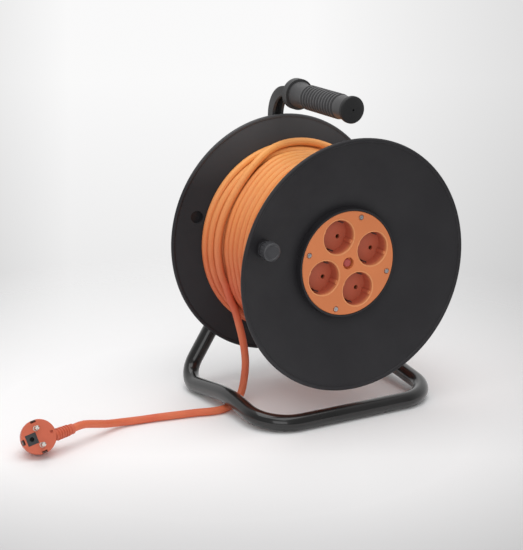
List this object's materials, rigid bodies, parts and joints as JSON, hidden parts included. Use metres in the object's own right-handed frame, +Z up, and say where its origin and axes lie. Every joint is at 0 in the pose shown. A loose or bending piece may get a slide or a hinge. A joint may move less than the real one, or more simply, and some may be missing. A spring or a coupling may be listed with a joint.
{
  "type": "extension cord reel",
  "caption": "Open drum of orange cord with round sockets in its hub and a crank knob, turning on an axle at the back of a bent black tube stand with a carrying grip.",
  "frame": {"origin": "on the floor, under the middle of the reel's own box measured without the loose cord and plug", "axes": "+Z up, -Y towards the socket side of the drum, +X to the right when facing the sockets; the drum axis lies along Y"},
  "size_m": [0.5203, 0.2331, 0.3737],
  "materials": {
    "tube_black": "gloss",
    "nylon_black": "fine texture",
    "grip_black": "satin",
    "zinc_steel": "zinc plated",
    "acetal_ivory": "smooth",
    "spring_steel": "oiled",
    "cord_orange": "soft, with faint lengthwise marks",
    "plug_orange": "satin",
    "nickel_pin": "nickel plated",
    "plug_dark": "matte",
    "drum_charcoal": "fine texture",
    "knob_black": "satin",
    "panel_orange": "matte",
    "contact_brass": "bright",
    "carrier_beige": "matte",
    "button_red": "satin"
  },
  "bodies": {
    "stand": {"stand_frame": "tube_black", "hub_bracket": "nylon_black", "bracket_screws": "zinc_steel", "handle_arm": "nylon_black", "arm_screws": "zinc_steel", "grip_spindle": "nylon_black", "grip_sleeve": "grip_black", "grip_screw": "zinc_steel", "axle": "zinc_steel", "axle_nut": "zinc_steel", "axle_washer": "zinc_steel", "thrust_washer": "acetal_ivory", "axle_end_washer": "zinc_steel", "retaining_clip": "spring_steel", "free_cable": "cord_orange", "plug_boot": "plug_orange", "plug_body": "plug_orange", "plug_pins": "nickel_pin", "plug_earth_clips": "nickel_pin", "plug_earth_socket": "plug_dark"},
    "drum": {"rear_flange": "drum_charcoal", "front_flange": "drum_charcoal", "drum_core": "drum_charcoal", "tie_screws": "zinc_steel", "hub_bush_rear": "acetal_ivory", "hub_bush_inner": "acetal_ivory", "crank_pin": "knob_black", "socket_panel": "panel_orange", "socket_insert_1": "panel_orange", "socket_insert_2": "panel_orange", "socket_insert_3": "panel_orange", "socket_insert_4": "panel_orange", "panel_screws": "zinc_steel", "earth_clips": "nickel_pin", "contact_sleeves": "contact_brass", "contact_carrier": "carrier_beige", "carrier_screws": "zinc_steel", "thermal_cutout": "nylon_black", "reset_spring": "spring_steel", "terminal_block": "carrier_beige", "terminal_screws": "zinc_steel", "cable_clamp": "nylon_black", "clamp_screws": "zinc_steel", "cable_tail": "cord_orange", "inner_winding": "cord_orange", "outer_winding": "cord_orange"},
    "crank_knob": {"crank_knob": "knob_black"},
    "reset_button": {"reset_button": "button_red"}
  },
  "joints": [
    {"name": "drum_spin", "type": "hinge", "parent": "stand", "child": "drum", "pos_m": [0, -0.01625, 0.181], "axis": [0, -1, 0], "continuous": true, "deforming": ["free_cable"]},
    {"name": "crank_spin", "type": "hinge", "parent": "drum", "child": "crank_knob", "pos_m": [-0.11476, -0.01625, 0.21608], "axis": [0, -1, 0], "continuous": true},
    {"name": "reset_push", "type": "slide", "parent": "drum", "child": "reset_button", "axis": [0, 1, 0], "range_m": [0, 0.003], "stiffness_N_per_m": 900, "springref_m": -0.001, "deforming": ["reset_spring"]}
  ]
}
